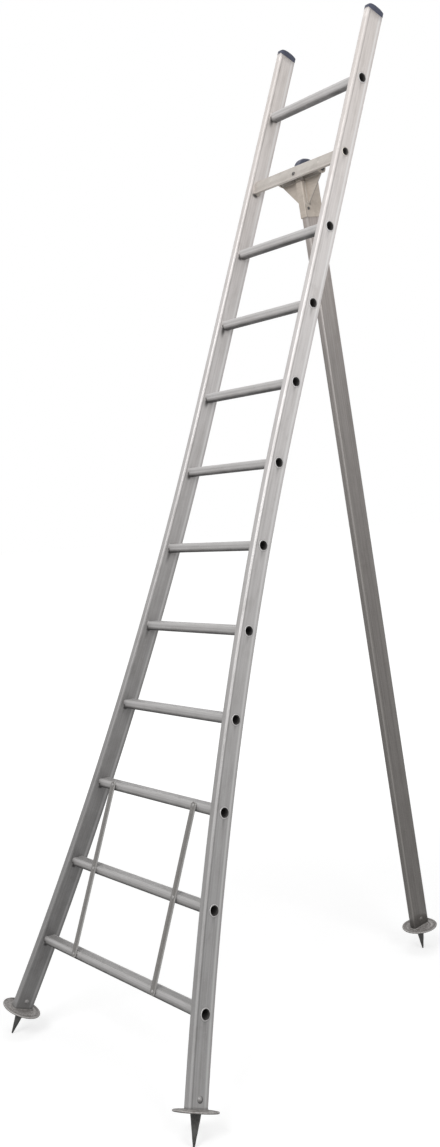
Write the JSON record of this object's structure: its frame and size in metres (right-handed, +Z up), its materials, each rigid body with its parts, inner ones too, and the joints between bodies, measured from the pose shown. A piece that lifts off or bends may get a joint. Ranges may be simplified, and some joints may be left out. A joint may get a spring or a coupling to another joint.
{
  "type": "tripod orchard ladder",
  "caption": "Aluminium tripod orchard ladder with spreading stiles, level rungs, a hinged rear support leg and spiked foot plates for soft ground.",
  "frame": {"origin": "on the ground under the middle of the opened ladder's outer box; the three spike tips stand on the ground", "axes": "+Z up, +X across the ladder to the climber's right, -Y to the front where the climber stands"},
  "size_m": [1.0048, 1.4318, 3.0972],
  "materials": {
    "aluminium": "satin",
    "foot_plates": "dull",
    "steel": "dark",
    "caps": "moulded",
    "nylon": "moulded"
  },
  "bodies": {
    "ladder": {"stile_left": "aluminium", "stile_right": "aluminium", "rung_01": "aluminium", "rung_03": "aluminium", "rung_04": "aluminium", "rung_05": "aluminium", "rung_06": "aluminium", "rung_07": "aluminium", "rung_08": "aluminium", "rung_09": "aluminium", "rung_10": "aluminium", "rung_11": "aluminium", "rung_12": "aluminium", "hinge_beam": "aluminium", "brace_left": "aluminium", "brace_right": "aluminium", "brace_rivets": "aluminium", "stile_cap_left": "caps", "stile_cap_right": "caps", "foot_plug_left": "nylon", "foot_plug_right": "nylon", "foot_plate_left": "foot_plates", "foot_plate_right": "foot_plates", "spike_left": "steel", "spike_right": "steel", "foot_rivets": "aluminium", "hinge_lug_left": "aluminium", "hinge_lug_right": "aluminium", "lug_rivets": "aluminium", "stop_pad": "nylon", "stop_bolt": "steel", "hinge_pin": "steel", "hinge_nut": "steel"},
    "rear_leg": {"support_leg": "aluminium", "leg_cap": "caps", "hinge_barrel": "aluminium", "bush_left": "nylon", "bush_right": "nylon", "gusset_left": "aluminium", "gusset_right": "aluminium", "leg_sleeve": "aluminium", "sleeve_bolt": "steel", "leg_foot_plug": "nylon", "leg_foot_plate": "foot_plates", "leg_spike": "steel", "leg_foot_rivet": "aluminium"}
  },
  "joints": [
    {"name": "leg_fold", "type": "hinge", "parent": "ladder", "child": "rear_leg", "pos_m": [0, 0.31361, 2.60929], "axis": [-1, 0, 0], "range_deg": [0, 22.5]}
  ]
}
